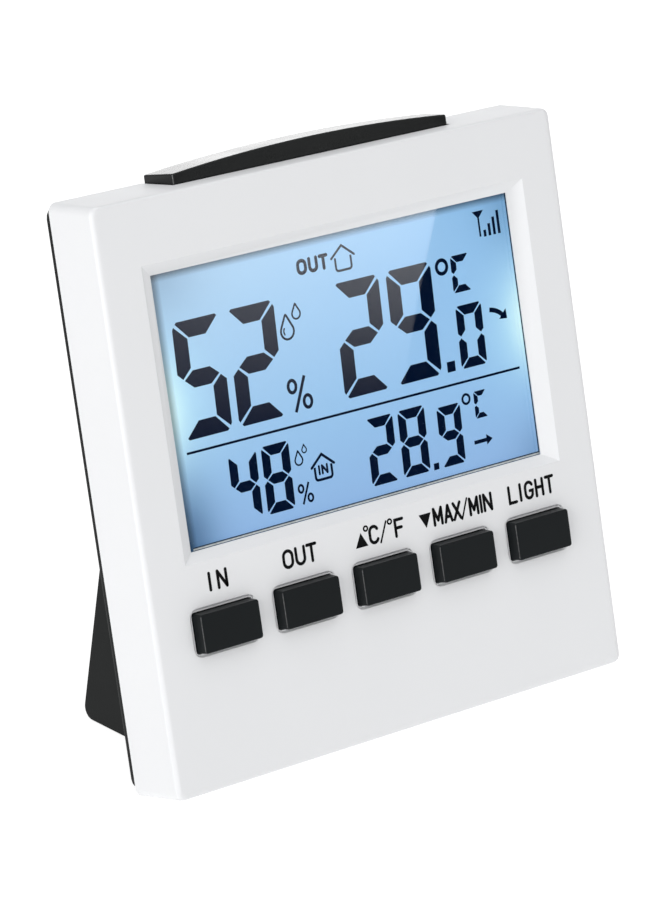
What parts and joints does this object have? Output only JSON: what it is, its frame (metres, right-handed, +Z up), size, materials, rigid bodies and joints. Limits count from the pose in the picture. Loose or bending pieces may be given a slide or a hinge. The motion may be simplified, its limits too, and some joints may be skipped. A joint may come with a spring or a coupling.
{
  "type": "maximum minimum thermometer",
  "caption": "Leaning desk thermometer with a backlit window, front keys, an arched light bar on top, and a fold-out stand behind.",
  "frame": {"origin": "centre of the footprint, on the surface the object stands on", "axes": "+X to the right along the face, +Y backwards towards the stand, +Z up; the face looks along -Y and leans back"},
  "size_m": [0.094, 0.0425, 0.0966],
  "materials": {
    "shell_white": "white moulded plastic, fine satin",
    "shell_black": "black moulded plastic, fine satin",
    "key_black": "black moulded plastic, semi-gloss",
    "lens_clear": "clear glossy acrylic",
    "display_glass": "blue backlit liquid crystal panel",
    "guide_clear": "frosted light guide",
    "reflector_white": "white film or cap",
    "led_lens": "clear resin over phosphor",
    "rubber_grey": "layered conductive rubber",
    "board_green": "green solder mask on glass laminate",
    "epoxy_black": "black resin",
    "bright_steel": "nickel plated",
    "brass_wire": "bare wire",
    "cell_wrap": "plain printed sleeve",
    "wire_red": "red insulation",
    "wire_black": "black insulation",
    "ribbon_grey": "flat cable"
  },
  "bodies": {
    "housing": {"front_case": "shell_white", "rear_cover": "shell_black", "window_lens": "lens_clear", "lcd_panel": "display_glass", "light_guide": "guide_clear", "reflector_sheet": "reflector_white", "led_left": "led_lens", "led_right": "led_lens", "zebra_strip": "rubber_grey", "main_board": "board_green", "receiver_module": "board_green", "key_board": "board_green", "chip_cover": "epoxy_black", "bar_switch": "epoxy_black", "humidity_sensor": "reflector_white", "antenna": "brass_wire", "ribbon_cable": "ribbon_grey", "stand_hinge_pin": "bright_steel", "cell_upper": "cell_wrap", "cell_lower": "cell_wrap", "contact_plate_upper": "bright_steel", "contact_plate_lower": "bright_steel", "contact_spring_upper": "bright_steel", "contact_spring_lower": "bright_steel", "battery_lead_positive": "wire_red", "battery_lead_negative": "wire_black", "switch_in": "bright_steel", "switch_out": "bright_steel", "switch_up": "bright_steel", "switch_down": "bright_steel", "switch_light": "bright_steel", "case_screw_1": "bright_steel", "case_screw_2": "bright_steel", "case_screw_3": "bright_steel", "case_screw_4": "bright_steel", "board_screw_1": "bright_steel", "board_screw_2": "bright_steel", "board_screw_3": "bright_steel", "board_screw_4": "bright_steel", "key_board_screw_1": "bright_steel", "key_board_screw_2": "bright_steel"},
    "key_in_body": {"key_in": "key_black"},
    "key_out_body": {"key_out": "key_black"},
    "key_up_units_body": {"key_up_units": "key_black"},
    "key_down_max_min_body": {"key_down_max_min": "key_black"},
    "key_light_body": {"key_light": "key_black"},
    "light_bar_body": {"light_bar": "key_black"},
    "door_body": {"battery_door": "shell_black"},
    "stand_body": {"stand": "shell_black"}
  },
  "joints": [
    {"name": "key_in_press", "type": "slide", "parent": "housing", "child": "key_in_body", "axis": [0, 0.9756, -0.2197], "range_m": [0, 0.0006], "stiffness_N_per_m": 400},
    {"name": "key_out_press", "type": "slide", "parent": "housing", "child": "key_out_body", "axis": [0, 0.9756, -0.2197], "range_m": [0, 0.0006], "stiffness_N_per_m": 400},
    {"name": "key_up_units_press", "type": "slide", "parent": "housing", "child": "key_up_units_body", "axis": [0, 0.9756, -0.2197], "range_m": [0, 0.0006], "stiffness_N_per_m": 400},
    {"name": "key_down_max_min_press", "type": "slide", "parent": "housing", "child": "key_down_max_min_body", "axis": [0, 0.9756, -0.2197], "range_m": [0, 0.0006], "stiffness_N_per_m": 400},
    {"name": "key_light_press", "type": "slide", "parent": "housing", "child": "key_light_body", "axis": [0, 0.9756, -0.2197], "range_m": [0, 0.0006], "stiffness_N_per_m": 400},
    {"name": "light_bar_press", "type": "slide", "parent": "housing", "child": "light_bar_body", "axis": [0, -0.2197, -0.9756], "range_m": [0, 0.0008], "stiffness_N_per_m": 600},
    {"name": "battery_door_slide", "type": "slide", "parent": "housing", "child": "door_body", "axis": [0, -0.2197, -0.9756], "range_m": [0, 0.026]},
    {"name": "stand_fold", "type": "hinge", "parent": "housing", "child": "stand_body", "pos_m": [0, 0.00956, 0.05243], "axis": [-1, 0, 0], "range_deg": [0, 23.5]}
  ]
}
